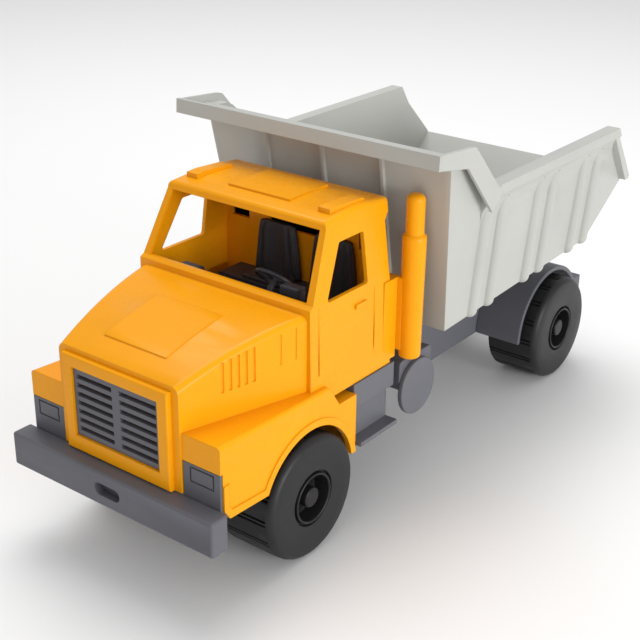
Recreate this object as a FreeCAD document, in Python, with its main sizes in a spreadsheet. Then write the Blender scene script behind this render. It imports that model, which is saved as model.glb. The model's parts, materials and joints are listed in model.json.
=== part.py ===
import FreeCAD, Part
import math
import os
import re
import Sketcher
from FreeCAD import Placement, Rotation, Vector

# Toy dump truck, in millimetres. +Z is up, the nose looks along -Y and the truck's left side is +X.
# Every sub-part is drawn with Y measured from the bumper's front face and X from the middle of the truck,
# and its Placement then moves it back by half the overall length, so the origin is under the middle.

SIZES = {
    # whole truck and wheels
    "overall_length": 398, "wheel_radius": 34.8, "tyre_inner": 31, "tyre_outer": 66.4, "tyre_hole": 15.5,
    "front_axle_at": 81.2, "rear_axle_at": 351.9, "axle_radius": 2.5, "running_gap": 0.05,
    # chassis beam
    "beam_half": 25, "beam_wall": 3, "beam_front": 11.4, "beam_low": 44, "beam_top_front": 62,
    "beam_step_at": 164, "beam_low_rear": 34.3, "deck_height": 92, "deck_end": 350, "beam_end": 377,
    "hinge_at": 366, "hinge_height": 84, "pin_radius": 2.5,
    # bumper and nose
    "bumper_half": 70, "bumper_low": 42.6, "bumper_high": 61.7, "bumper_deep": 11.4,
    "nose_front": 8, "nose_half": 36, "nose_high": 115.6, "grille_half": 29.4, "grille_low": 70.8,
    "grille_high": 109.2, "slat_pitch": 4.85, "slot_high": 2.3, "grille_front": 9.4,
    "screw_radius": 1.3,
    # hood
    "hood_front": 11, "hood_low": 62.2, "hood_front_high": 118.4, "hood_mid_at": 52,
    "hood_mid_high": 129.6, "hood_end": 90, "hood_end_high": 133.2, "hood_half_front": 40.6,
    "hood_half_end": 57.4, "shell": 2.4,
    # fenders
    "fender_front": 12, "fender_half": 65, "fender_half_end": 62.4, "fender_high": 95,
    "fender_high_end": 91, "fender_step": 77.8, "fender_end": 122.6, "fender_low": 55,
    "fender_low_end": 43.2, "arch_at": 80.8, "arch_height": 36, "arch_radius": 38, "lip_wide": 4,
    "lip_proud": 0.85, "lamp_high": 80.7, "skirt_front": 13.7,
    # cab
    "cab_low": 82, "belt": 136.8, "cab_half_low": 59.6, "cab_half_belt": 58.4, "cab_half_roof": 52.6,
    "cowl_at": 86.8, "roof_front": 105.2, "roof_front_high": 172, "roof_high": 177.2,
    "cab_end": 157, "roof_end": 160.5, "holder_end": 162, "holder_high": 131,
    # cab fittings
    "dash_at": 107, "bench_high": 116, "seat_back_at": 151, "seat_high": 147.5,
    # dump body
    "bed_half_low": 74.6, "bed_half_rim": 81.4, "rim": 174, "rim_out": 86.9, "rim_in": 78.4,
    "lip_front": 150.6, "lip_half": 88.9, "lip_high": 206, "lip_deep": 8, "shelf_high": 200.2,
    "bed_front_low_at": 188, "bed_front_high_at": 170.5, "bed_low": 94, "kink_at": 356,
    "kink_height": 100, "tail_at": 396.4, "tail_height": 132, "bed_wall": 2.6,
    "rim_end": 362, "notch_at": 213.5, "wing_end": 187, "wing_height": 202.4, "sheet_wall": 2.2,
    # rear mudguards
    "guard_in": 25, "guard_out": 57.2, "guard_radius": 41.2, "guard_wall": 3,
    # stacks, steps and tanks
    "stack_x": 64.8, "stack_at": 168.3, "stack_low": 83.6, "stack_mid": 155, "stack_high": 177.5,
    "step_front": 123.4, "step_end": 157.5, "step_height": 47, "step_out": 65.7, "sill_out": 60.6,
    "tank_out": 60.6, "tank_at": 181.5, "tank_height": 59, "tank_cap_radius": 17,
}
ALIAS = re.compile(r"\b(" + "|".join(sorted(SIZES, key=len, reverse=True)) + r")\b")

doc = FreeCAD.newDocument("toy_dump_truck")
sheet = doc.addObject("Spreadsheet::Sheet", "Sizes")
for row, (alias, size) in enumerate(SIZES.items(), start=1):
    sheet.set(f"A{row}", alias)
    sheet.set(f"B{row}", str(size))
    sheet.setAlias(f"B{row}", alias)
doc.recompute()

nodes = []


def cell(text):
    """A formula in the sheet's terms: each size's name gets the sheet in front of it."""
    return ALIAS.sub(r"Sizes.\1", str(text))


def bind(thing, **formulas):
    """Tie properties to formulas; a double underscore stands for the dot of a sub-property."""
    for name, text in formulas.items():
        thing.setExpression(name.replace("__", "."), cell(text))
    return thing


def place(thing, x=0, y=0, z=0):
    return bind(thing, Placement__Base__x=x, Placement__Base__y=y, Placement__Base__z=z)


def box(name, x, y, z):
    """A block between two formulas along each axis: x, y and z are (low, high)."""
    block = doc.addObject("Part::Box", name)
    place(block, x[0], y[0], z[0])
    return bind(block, Length=f"({x[1]}) - ({x[0]})", Width=f"({y[1]}) - ({y[0]})",
                Height=f"({z[1]}) - ({z[0]})")


AXES = {"x": Rotation(Vector(0, 1, 0), 90), "y": Rotation(Vector(1, 0, 0), -90), "z": Rotation()}


def rod(name, axis, radius, start, length, top_radius=None):
    """A cylinder, or a cone with top_radius, from start (x, y, z) along one axis."""
    kind = "Part::Cylinder" if top_radius is None else "Part::Cone"
    piece = doc.addObject(kind, name)
    piece.Placement = Placement(Vector(), AXES[axis])
    place(piece, *start)
    if top_radius is None:
        bind(piece, Radius=radius)
    else:
        bind(piece, Radius1=radius, Radius2=top_radius)
    return bind(piece, Height=length)


def outline(sketch, points, closed=True):
    """Straight outline through points (formula, formula), each held by its own two dimensions.
    A point with a third entry, "arc", is a point that a round stretch passes through."""
    corners = [p for p in points if len(p) == 2]
    rounds = {len([q for q in points[:i] if len(q) == 2]) - 1: p
              for i, p in enumerate(points) if len(p) == 3}
    value = {p: tuple(sheet_value(c) for c in p[:2]) for p in points}
    count = len(corners)
    ends = []
    for i, start in enumerate(corners):
        stop = corners[(i + 1) % count]
        a, b = Vector(*value[start], 0), Vector(*value[stop], 0)
        if i in rounds:
            way = Vector(*value[rounds[i]], 0)
            arc = Part.Arc(a, way, b)
            edge = sketch.addGeometry(arc, False)
            forward = sketch.getPoint(edge, 1).distanceToPoint(a) < 1e-6
            ends.append((edge, 1, 2) if forward else (edge, 2, 1))
            radius = sketch.Geometry[edge].Radius
            sketch.addConstraint(Sketcher.Constraint("Radius", edge, radius))
        else:
            edge = sketch.addGeometry(Part.LineSegment(a, b), False)
            ends.append((edge, 1, 2))
    for i, (edge, start, stop) in enumerate(ends):
        following = ends[(i + 1) % count]
        sketch.addConstraint(Sketcher.Constraint("Coincident", edge, stop, following[0], following[1]))
        dimension(sketch, edge, start, corners[i])
    return sketch


def sheet_value(text):
    """The number that a formula has now, worked out from the sheet's own cells."""
    named = ALIAS.sub(lambda found: repr(float(sheet.get(found.group(1)))), str(text))
    return FreeCAD.Units.Quantity(named).Value


def dimension(sketch, edge, point, formulas):
    """Hold one point of a sketch by its two coordinates."""
    for kind, text in zip(("DistanceX", "DistanceY"), formulas):
        held = Sketcher.Constraint(kind, edge, point, sheet_value(text))
        number = sketch.addConstraint(held)
        sketch.setExpression(f"Constraints[{number}]", cell(text))


PLANES = {"x": Rotation(Vector(1, 1, 1), 120), "y": Rotation(Vector(1, 0, 0), 90), "z": Rotation()}


def prism(name, axis, points, low, high):
    """An outline carried along one axis from low to high. Along x the outline is (y, z), along y it is
    (x, z) and along z it is (x, y)."""
    sketch = doc.addObject("Sketcher::SketchObject", name + "_outline")
    sketch.Placement = Placement(Vector(), PLANES[axis])
    outline(sketch, points)
    lift = doc.addObject("Part::Extrusion", name)
    lift.Base = sketch
    lift.DirMode = "Normal"
    lift.Solid = True
    start, stop = (f"-({high})", f"-({low})") if axis == "y" else (low, high)
    return bind(lift, LengthFwd=stop, LengthRev=f"-({start})")


def fuse(name, shapes):
    joined = doc.addObject("Part::MultiFuse", name)
    joined.Shapes = shapes
    joined.Refine = True
    return joined


def common(name, shapes):
    kept = doc.addObject("Part::MultiCommon", name)
    kept.Shapes = shapes
    return kept


def cut(name, base, tools):
    """base with every tool taken away."""
    tool = tools[0] if len(tools) == 1 else fuse(name + "_tools", tools)
    rest = doc.addObject("Part::Cut", name)
    rest.Base = base
    rest.Tool = tool
    rest.Refine = True
    return rest


def mirrored(name, source):
    """The same shape on the other side of the truck's middle."""
    twin = doc.addObject("Part::Mirroring", name)
    twin.Source = source
    twin.Normal = Vector(1, 0, 0)
    return twin


def rounded(name, base, radius, wanted):
    """base with the straight edges that wanted(edge) picks rounded off."""
    doc.recompute()
    picked = [i for i, edge in enumerate(base.Shape.Edges, start=1) if wanted(edge)]
    soft = doc.addObject("Part::Fillet", name)
    soft.Base = base
    soft.Edges = [(i, radius, radius) for i in picked]
    return soft


def along(axis, test=lambda middle: True):
    """A picker of edges that run along one axis and whose middle passes a test."""
    way = {"x": Vector(1, 0, 0), "y": Vector(0, 1, 0), "z": Vector(0, 0, 1)}[axis]

    def wanted(edge):
        ends = [vertex.Point for vertex in edge.Vertexes]
        if len(ends) != 2:
            return False
        run = (ends[1] - ends[0]).normalize()
        return abs(run.dot(way)) > 0.9 and test(edge.CenterOfMass)

    return wanted


def node(thing, name):
    """Name a finished sub-part and put it in the truck's frame."""
    thing.Label = name
    bind(thing, Placement__Base__y="-overall_length / 2")
    nodes.append(thing)
    return thing


def both_sides(make, name):
    """The left piece, from make(name), and its mirror image on the right."""
    left = node(make(name + "_left_shape"), name + "_left")
    right = doc.addObject("Part::Mirroring", name + "_right_shape")
    right.Source = left
    right.Normal = Vector(1, 0, 0)
    right.Label = name + "_right"
    nodes.append(right)


def origin_plane(body, role):
    return next(plane for plane in body.Origin.OriginFeatures if plane.Role == role)


def sketch_on(body, name, role, points=None):
    sketch = body.newObject("Sketcher::SketchObject", name)
    sketch.AttachmentSupport = [(origin_plane(body, role), "")]
    sketch.MapMode = "FlatFace"
    if points:
        outline(sketch, points)
    return sketch


# ---------------------------------------------------------------- chassis

SCREWS = [("-14", "30"), ("14", "30"), ("-16", "114"), ("16", "114"), ("-16", "144"), ("16", "144")]


def chassis():
    """A channel open from below: side walls, deck, front plate, axle saddles and hinge ears."""
    body = doc.addObject("PartDesign::Body", "chassis_frame_body")
    side = sketch_on(body, "beam_side", "YZ_Plane", [
        ("beam_front", "beam_low"), ("front_axle_at - 16", "beam_low"), ("front_axle_at - 8", "28.5"),
        ("front_axle_at + 8", "28.5"), ("front_axle_at + 16", "beam_low"), ("196", "beam_low"),
        ("206", "beam_low_rear"), ("rear_axle_at - 10", "beam_low_rear"), ("rear_axle_at - 6", "28.5"),
        ("rear_axle_at + 8", "28.5"), ("beam_end", "58"), ("beam_end", "hinge_height + 6"),
        ("deck_end", "hinge_height + 6"), ("deck_end", "deck_height"), ("beam_step_at", "deck_height"),
        ("beam_step_at", "beam_top_front"), ("beam_front", "beam_top_front"),
    ])
    beam = body.newObject("PartDesign::Pad", "beam")
    beam.Profile = side
    beam.Midplane = True
    bind(beam, Length="2 * beam_half")
    inside = sketch_on(body, "beam_inside", "YZ_Plane", [
        ("beam_front + beam_wall", "20"), ("beam_end + 5", "20"), ("beam_end + 5", "hinge_height + 20"),
        ("deck_end + 0.5", "hinge_height + 20"), ("deck_end + 0.5", "deck_height - beam_wall"),
        ("beam_step_at + beam_wall", "deck_height - beam_wall"),
        ("beam_step_at + beam_wall", "beam_top_front - beam_wall"),
        ("beam_front + beam_wall", "beam_top_front - beam_wall"),
    ])
    hollow = body.newObject("PartDesign::Pocket", "beam_hollow")
    hollow.Profile = inside
    hollow.Midplane = True
    bind(hollow, Length="2 * (beam_half - beam_wall)")
    for name, at, height, radius in (
            ("front_saddle", "front_axle_at", "wheel_radius", "axle_radius + running_gap"),
            ("rear_saddle", "rear_axle_at", "wheel_radius", "axle_radius + running_gap"),
            ("hinge_hole", "hinge_at", "hinge_height", "pin_radius")):
        ring = sketch_on(body, name + "_circle", "YZ_Plane")
        circle = Part.Circle(Vector(sheet_value(at), sheet_value(height), 0), Vector(0, 0, 1),
                             sheet_value(radius))
        ring.addGeometry(circle, False)
        dimension(ring, 0, 3, (at, height))
        number = ring.addConstraint(Sketcher.Constraint("Radius", 0, sheet_value(radius)))
        ring.setExpression(f"Constraints[{number}]", cell(radius))
        hole = body.newObject("PartDesign::Pocket", name)
        hole.Profile = ring
        hole.Midplane = True
        bind(hole, Length="2 * beam_half + 10")
    doc.recompute()
    ribs = [box(f"cross_rib_{i}", ("-beam_half + beam_wall", "beam_half - beam_wall"),
                (f"{at}", f"{at} + beam_wall"), (low, high))
            for i, (at, low, high) in enumerate((
                ("60", "beam_low", "beam_top_front - beam_wall"),
                ("104", "beam_low", "beam_top_front - beam_wall"),
                ("150", "beam_low", "beam_top_front - beam_wall"),
                ("240", "beam_low_rear", "deck_height - beam_wall"),
                ("300", "beam_low_rear", "deck_height - beam_wall"),
                ("345", "60", "deck_height - beam_wall")))]
    holes = [rod(f"screw_hole_{i}", "z", "screw_radius + 0.4", (x, y, "beam_top_front - 6"), "8")
             for i, (x, y) in enumerate(SCREWS)]
    whole = cut("chassis_frame_shape", fuse("chassis_ribbed", [body] + ribs), holes)
    node(whole, "chassis_frame")


def bumper():
    """Plain bar with rounded edges and a round-ended tow slot."""
    body = doc.addObject("PartDesign::Body", "front_bumper_body")
    face = sketch_on(body, "bumper_face", "XZ_Plane", [
        ("-bumper_half", "bumper_low"), ("bumper_half", "bumper_low"),
        ("bumper_half", "bumper_high"), ("-bumper_half", "bumper_high")])
    bar = body.newObject("PartDesign::Pad", "bumper_bar")
    bar.Profile = face
    bar.Reversed = True
    bind(bar, Length="bumper_deep")
    doc.recompute()
    edge_names = [f"Edge{i}" for i, edge in enumerate(bar.Shape.Edges, start=1)
                  if edge.CenterOfMass.y < 1 or abs(edge.CenterOfMass.x) > 60]
    soft = body.newObject("PartDesign::Fillet", "bumper_edges")
    soft.Base = (bar, edge_names)
    soft.Radius = 1.5
    slot = sketch_on(body, "tow_slot", "XZ_Plane")
    middle = sheet_value("(bumper_low + bumper_high) / 2")
    half, radius = 5.4, 3.4
    arcs = []
    for sign, start in ((1, -90), (-1, 90)):
        centre = Vector(sign * half, middle, 0)
        turn = [Rotation(Vector(0, 0, 1), start + step).multVec(Vector(radius, 0, 0))
                for step in (0, 90, 180)]
        arcs.append(slot.addGeometry(Part.Arc(*[centre + t for t in turn]), False))
    for sign in (1, -1):
        height = middle + sign * radius
        line = Part.LineSegment(Vector(sign * half, height, 0), Vector(-sign * half, height, 0))
        slot.addGeometry(line, False)
    recess = body.newObject("PartDesign::Pocket", "tow_recess")
    recess.Profile = slot
    recess.Length = 5
    recess.Reversed = True
    doc.recompute()
    if recess.Shape.Volume > soft.Shape.Volume - 50:
        recess.Reversed = False
    node(body, "front_bumper")


def grille():
    """Plate behind the nose frame with seven rows of slots on each side of a plain middle rib."""
    flange = box("grille_flange", ("-grille_half - 1.6", "grille_half + 1.6"), ("10.4", "12.4"),
                 ("grille_low - 1.6", "grille_high + 1.4"))
    face = box("grille_face", ("-grille_half + 0.2", "grille_half - 0.2"), ("grille_front", "11"),
               ("grille_low + 0.2", "grille_high - 0.2"))
    slots = []
    for i in range(7):
        base = f"grille_low + 3.3 + {i} * slat_pitch"
        for side, low, high in (("right", "-grille_half + 2.2", "-2.6"),
                                ("left", "2.6", "grille_half - 2.2")):
            slots.append(box(f"slot_{side}_{i}", (low, high), ("5", "16"), (base, f"{base} + slot_high")))
    node(cut("grille_shape", fuse("grille_plate", [flange, face]), slots), "grille")


def headlight(name):
    """Lamp insert across the fender's front opening: a plate that reaches behind the bumper, its lens let
    in above, and a body and a tab behind that sit against the fender's front wall."""
    plate = box(name + "_plate", ("41.4", "fender_half - 0.2"), ("fender_front - 0.1", "skirt_front - 0.2"),
                ("56", "lamp_high - 0.2"))
    body = box(name + "_body", ("43.4", "61.2"), ("skirt_front - 0.3", "17"), ("62", "lamp_high - 0.2"))
    tab = box(name + "_tab", ("44", "61"), ("fender_front + shell", "17"), ("70", "lamp_high + 4"))
    frame = box(name + "_lens_frame", ("45.6", "61"), ("11", "fender_front + 0.7"), ("70.6", "79.2"))
    pane = box(name + "_lens_pane", ("46.5", "60.1"), ("fender_front - 0.1", "fender_front + 0.9"),
               ("71.5", "78.3"))
    framed = cut(name + "_framed", fuse(name + "_block", [plate, body, tab]), [frame])
    return fuse(name, [framed, pane])


# ---------------------------------------------------------------- cab

HOOD_TOP = [("hood_end", "hood_end_high"), ("hood_mid_at", "hood_mid_high", "arc"),
            ("hood_front", "hood_front_high")]


def hood_block(name, inset, low, raise_by="0"):
    """Hood: an arched side outline, carried across and trimmed to the tapering plan."""
    top = [(p[0], f"{p[1]} - {inset} + {raise_by}") + p[2:] for p in HOOD_TOP]
    top[0] = (f"hood_end + {inset}", top[0][1])
    top[-1] = (f"hood_front + {inset}", top[-1][1])
    side = prism(name + "_side", "x", [(top[-1][0], low), (top[0][0], low)] + top, "-80", "80")
    plan = prism(name + "_plan", "z", [
        (f"-hood_half_front + {inset}", f"hood_front + {inset}"),
        (f"hood_half_front - {inset}", f"hood_front + {inset}"),
        (f"hood_half_end - {inset}", f"hood_end + {inset}"),
        (f"-hood_half_end + {inset}", f"hood_end + {inset}")], "20", "160")
    return common(name, [side, plan])


def fender_block(name, inset, low):
    """Left fender over the wheel: the top slopes gently, drops to a low step at the rear, and the plan
    tapers."""
    side = prism(name + "_side", "x", [
        (f"fender_front + {inset}", low), (f"fender_front + {inset}", f"fender_high - {inset}"),
        (f"98 - {inset} * 0.55", f"fender_high_end - {inset} * 0.97"),
        (f"107 - {inset} * 0.5", f"fender_step - {inset}"),
        (f"fender_end - {inset}", f"fender_step - 0.4 - {inset}"), (f"fender_end - {inset}", low)],
        "20", "80")
    return common(name, [side, fender_plan(name + "_plan", inset)])


def fender_plan(name, inset):
    """The fender's tapering plan, as a tall block."""
    return prism(name, "z", [
        ("36", f"fender_front + {inset}"), (f"fender_half - {inset}", f"fender_front + {inset}"),
        (f"fender_half_end - {inset}", f"fender_end - {inset}"), ("36", f"fender_end - {inset}")],
        "20", "160")


def fender_lip(name, gaps):
    """Raised band up the skirt's front edge, along its bottom edge and round the wheel arch, cut to the
    same gaps as the skirt."""
    ring = rod(name + "_ring", "x", "arch_radius + lip_wide", ("61.4", "arch_at", "arch_height"), "20")
    strip = prism(name + "_strip", "x", [
        ("skirt_front", "74"), ("skirt_front", "45"), ("60", "45"), ("60", "56.2"), ("44.5", "57.2"),
        ("19.4", "59.2"), ("17.7", "61.6"), ("17.7", "74")], "61.4", "81.4")
    side = fuse(name + "_side", [ring, strip])
    band = common(name + "_band", [side, fender_plan(name + "_plan", "-lip_proud")])
    below = box(name + "_below", ("50", "90"), ("5", "130"), ("-20", "fender_low_end"))
    behind = box(name + "_behind", ("50", "90"), ("fender_end - 0.4", "130"), ("0", "100"))
    return cut(name, band, gaps + [below, behind])


def fender(name):
    """Hollow fender skirt, open below, with its lamp opening and the corner cut off its front foot."""
    outer = fender_block(name + "_outer", "0", "fender_low_end")
    soft = rounded(name + "_soft", outer, 2.2, lambda edge: edge.CenterOfMass.z > 92
                   and edge.CenterOfMass.x > 60)
    inner = fender_block(name + "_inner", "shell", "20")
    arch = rod(name + "_arch", "x", "arch_radius", ("30", "arch_at", "arch_height"), "60")
    lamp = box(name + "_lamp_gap", ("40.7", "fender_half - shell"), ("5", "20"), ("20", "lamp_high"))
    lamp_side = box(name + "_lamp_side", ("60", "80"), ("5", "skirt_front"), ("20", "lamp_high"))
    foot = prism(name + "_foot", "x", [
        ("5", "40"), ("arch_at", "40"), ("arch_at", "50.7"), ("17.6", "fender_low"),
        ("fender_front + 0.6", "hood_low"), ("5", "hood_low")], "30", "80")
    skirt = cut(name + "_skirt", soft, [inner, arch, lamp, lamp_side, foot])
    return fuse(name, [skirt, fender_lip(name + "_lip", [arch, lamp_side, foot])])


def cab_block(name, inset, low):
    """Upper cab: the side outline with its raked windscreen, trimmed to sides that lean in."""
    side = prism(name + "_side", "x", [
        (f"cowl_at + {inset}", low), (f"cowl_at + {inset}", "belt - 0.6"),
        (f"cowl_at + 2.6 + {inset}", "belt + 1"), (f"roof_front + {inset}", "roof_front_high"),
        (f"roof_front + 0.6 + {inset}", f"roof_high - 1.2 - {inset}"),
        ("131", f"roof_high - {inset}", "arc"),
        (f"roof_end - {inset}", f"roof_high - 1.8 - {inset}"), (f"roof_end - {inset}", "167"),
        (f"cab_end - {inset}", "163"), (f"cab_end - {inset}", low)], "-80", "80")
    face = prism(name + "_face", "y", [
        (f"-cab_half_low + {inset}", low), (f"cab_half_low - {inset}", low),
        (f"cab_half_belt - {inset}", "belt"), (f"cab_half_roof - {inset}", "roof_high + 2"),
        (f"-cab_half_roof + {inset}", "roof_high + 2"), (f"-cab_half_belt + {inset}", "belt")], "60", "180")
    return common(name, [side, face])


def side_window(name):
    """Door window: upright at the back, raked at the front, cut through both doors."""
    glass = prism(name, "x", [("100.5", "belt - 1"), ("135.6", "belt - 1"), ("135.6", "163.6"),
                              ("114.8", "163.6")], "-70", "70")
    return rounded(name + "_soft", glass, 1.6, along("x"))


def cab_shell():
    """One hollow orange moulding: nose frame, hood, fenders and cab, open below."""
    hood = rounded("hood_soft", hood_block("hood_outer", "0", "hood_low"), 4, lambda edge:
                   abs(edge.CenterOfMass.x) > 30 and edge.CenterOfMass.z > 119
                   and edge.CenterOfMass.y < 80)
    frame = box("nose_frame", ("-nose_half", "nose_half"), ("nose_front", "hood_front + 1"),
                ("hood_low", "nose_high"))
    frame_soft = rounded("nose_frame_soft", frame, 1.2, lambda edge: edge.CenterOfMass.y < 10)
    panel = common("hood_panel", [
        prism("hood_panel_plan", "z", [("-21", "24"), ("21", "24"), ("21.6", "63.6"), ("-21.6", "63.6")],
              "100", "160"),
        hood_block("hood_panel_sheet", "0", "110", "0.7")])
    cab = rounded("cab_soft", cab_block("cab_outer", "0", "cab_low"), 3, lambda edge:
                  edge.CenterOfMass.z > 174 or (edge.CenterOfMass.z > 140
                  and abs(edge.CenterOfMass.x) > 40 and edge.CenterOfMass.y > 150))
    rails = []
    for side, low, high in (("left", "41", "48.6"), ("right", "-48.6", "-41")):
        rails.append(prism(f"roof_rail_{side}", "x", [
            ("115", "172"), ("115", "179.3"), ("122", "179.7"), ("143", "178.4"), ("150", "172")],
            low, high))
    roof_panel = box("roof_panel", ("-20.8", "20.8"), ("117.4", "150"), ("170", "roof_high + 0.7"))
    left_fender = fender("fender_left_shape")
    right_fender = mirrored("fender_right_shape", left_fender)
    holder = box("stack_holder", ("50", "59.4"), ("150", "holder_end"), ("84", "holder_high"))
    solid = fuse("cab_solid", [hood, frame_soft, panel, cab, roof_panel, holder] + rails)
    hollow_hood = hood_block("hood_inner", "shell", "20")
    hollow_cab = cab_block("cab_inner", "shell", "20")
    passage = box("cab_passage", ("-54", "54"), ("80", "100"), ("20", "130"))
    arches = [rod(f"wheel_room_{side}", "x", "arch_radius", (low, "arch_at", "arch_height"), "50")
              for side, low in (("left", "29"), ("right", "-79"))]
    grille_gap = box("grille_gap", ("-grille_half", "grille_half"), ("0", "20"),
                     ("grille_low", "grille_high"))
    grille_seat = box("grille_seat", ("-grille_half - 1.8", "grille_half + 1.8"), ("10.3", "20"),
                      ("grille_low - 1.8", "grille_high + 1.6"))
    windscreen = prism("windscreen", "y", [("-54", "belt + 0.9"), ("54", "belt + 0.9"), ("50", "171.6"),
                                           ("-50", "171.6")], "80", "122")
    rear_windows = [box(f"rear_window_{side}", (low, high), ("150", "170"), ("144", "163"))
                    for side, low, high in (("left", "38.5", "51.6"), ("middle", "-24", "24"),
                                            ("right", "-51.6", "-38.5"))]
    lines = door_lines()
    whole = cut("cab_hollowed", solid, [hollow_hood, hollow_cab, passage, grille_gap, grille_seat,
                                        windscreen, side_window("door_window")] + arches
                + rear_windows + lines)
    bosses = []
    for i, (x, y) in enumerate(SCREWS[:2]):
        post = rod(f"screw_boss_{i}", "z", "3.6", (x, y, "beam_top_front"), "80")
        pilot = rod(f"screw_pilot_{i}", "z", "screw_radius", (x, y, "beam_top_front - 1"), "12")
        bosses.append(cut(f"screw_post_{i}", common(f"screw_post_trim_{i}", [
            post, hood_block(f"boss_hood_{i}", "1", "20")]), [pilot]))
    handles = [box(f"door_handle_{side}", (low, high), ("124", "133.4"), ("125", "127.4"))
               for side, low, high in (("left", "57", "60"), ("right", "-60", "-57"))]
    shell = fuse("cab_shell_shape", [whole, left_fender, right_fender] + bosses + handles)
    node(shell, "cab_shell")


def door_lines():
    """Moulded grooves: hood vents and hatch lines, and the upright door seams, on both sides."""
    grooves = []
    slope = "(hood_half_end - hood_half_front) / (hood_end - hood_front)"
    for sign, side in (("1", "left"), ("-1", "right")):
        for i in range(5):
            at = f"36 + {i} * 4.6"
            x = f"{sign} * (hood_half_front + {slope} * ({at} - hood_front))"
            grooves.append(rod(f"vent_{side}_{i}", "z", "0.9", (x, at, "108"), f"16 + {i} * 0.6"))
        for i, (at, low, high) in enumerate((("70.6", "112", "16"), ("80", "112", "17"))):
            x = f"{sign} * (hood_half_front + {slope} * ({at} - hood_front))"
            grooves.append(rod(f"hatch_{side}_{i}", "z", "0.5", (x, at, low), high))
        for i, (at, low, high) in enumerate((("93.8", "98", "38"), ("141.6", "84", "48"))):
            x = f"{sign} * cab_half_low - {sign} * 0.9"
            grooves.append(rod(f"door_seam_{side}_{i}", "z", "0.55", (x, at, low), high))
    return grooves


def cab_interior():
    """Dark tub: floor, dashboard on its pedestal, and the bench that carries the seats."""
    front_floor = box("tub_floor_front", ("-35.5", "35.5"), ("92", "110"), ("84", "86.4"))
    floor = box("tub_floor", ("-56.2", "56.2"), ("109", "154.4"), ("84", "86.4"))
    pedestal = box("dash_pedestal", ("-33", "33"), ("96", "dash_at"), ("86", "99"))
    dash = prism("dashboard", "x", [("92.8", "97"), ("92.8", "130.4"), ("103", "131.6"),
                                    ("dash_at", "129.6"), ("dash_at", "97")], "-42", "50")
    hump_block = box("dash_hump_block", ("-41", "-27"), ("95", "104"), ("129", "133.6"))
    hump = rounded("dash_hump", hump_block, 1.6, lambda edge: edge.CenterOfMass.z > 133)
    dials_block = box("dash_dials_block", ("30", "41.7"), ("98", "104.6"), ("129", "139.6"))
    dials = rounded("dash_dials", dials_block, 1, lambda edge: edge.CenterOfMass.z > 139)
    bench = cut("seat_bench", box("bench_block", ("-45", "45"), ("135", "154.4"), ("86", "bench_high")),
                [box("bench_hollow", ("-42.6", "42.6"), ("137.4", "160"), ("86.4", "bench_high - 2.4"))])
    posts = []
    for i, (x, y) in enumerate(SCREWS[2:]):
        post = rod(f"tub_post_{i}", "z", "3.6", (x, y, "beam_top_front"), "85 - beam_top_front")
        pilot = rod(f"tub_pilot_{i}", "z", "screw_radius", (x, y, "beam_top_front - 1"), "12")
        posts.append(cut(f"tub_post_drilled_{i}", post, [pilot]))
    node(fuse("cab_interior_shape", [front_floor, floor, pedestal, dash, hump, dials, bench] + posts),
         "cab_interior")


def seat(name, middle):
    """Seat: a low cushion on the bench and a back that narrows upwards, with upright ribs."""
    cushion = box(name + "_cushion", (f"{middle} - 14.6", f"{middle} + 14.6"), ("137", "seat_back_at + 1"),
                  ("bench_high", "bench_high + 1.8"))
    back = prism(name + "_back", "y", [
        (f"{middle} - 16.5", "bench_high"), (f"{middle} + 16.5", "bench_high"),
        (f"{middle} + 12.8", "seat_high"), (f"{middle} - 12.8", "seat_high")], "seat_back_at", "154.3")
    ribs = [prism(f"{name}_rib_{i}", "x", [
        ("seat_back_at - 1", "bench_high + 1"), ("seat_back_at + 0.5", "bench_high + 1"),
        ("seat_back_at + 0.5", "seat_high - 2"), ("seat_back_at - 0.6", "seat_high - 3")],
        f"{middle} - 11.3 + {i} * 4.2", f"{middle} - 9.5 + {i} * 4.2") for i in range(6)]
    node(fuse(name + "_shape", [cushion, back] + ribs), name)


def steering_wheel():
    """Thin ring on a boss, leaning back on its column."""
    ring = doc.addObject("Part::Torus", "steering_ring")
    ring.Radius1 = 10.5
    ring.Radius2 = 1.15
    hub = rod("steering_hub", "z", "2.6", ("0", "0", "-1.5"), "3")
    spokes = [box("steering_spoke_a", ("-10.2", "10.2"), ("-1", "1"), ("-0.8", "0.8")),
              box("steering_spoke_b", ("-1", "1"), ("-10.2", "0"), ("-0.8", "0.8"))]
    column = rod("steering_column", "z", "1.7", ("0", "0", "-11"), "11")
    wheel = fuse("steering_wheel_flat", [ring, hub, column] + spokes)
    tilted = doc.addObject("Part::Compound", "steering_wheel_shape")
    tilted.Links = [wheel]
    wheel.Placement = Placement(Vector(14, 113.6, 133.4), Rotation(Vector(1, 0, 0), -42))
    node(cut("steering_wheel_clear", tilted, [box("steering_dash_gap", ("-20", "40"), ("60", "dash_at"),
                                                  ("60", "129.6"))]), "steering_wheel")


def exhaust_stack(name):
    """Stepped pipe beside the cab with a rounded top, and its flange against the holder."""
    lower = rod(name + "_lower", "z", "6.2", ("stack_x", "stack_at", "stack_low"),
                "stack_mid - stack_low", "6.8")
    upper_rod = rod(name + "_upper_rod", "z", "5.1", ("stack_x", "stack_at", "stack_mid - 1"),
                    "stack_high - stack_mid + 1")
    upper = rounded(name + "_upper", upper_rod, 3.4,
                    lambda edge: edge.CenterOfMass.z > 170 and len(edge.Vertexes) == 1)
    flange = box(name + "_flange", ("52", "stack_x - 2"), ("holder_end", "holder_end + 3"),
                 ("88", "holder_high"))
    return fuse(name, [lower, upper, flange])


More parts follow.
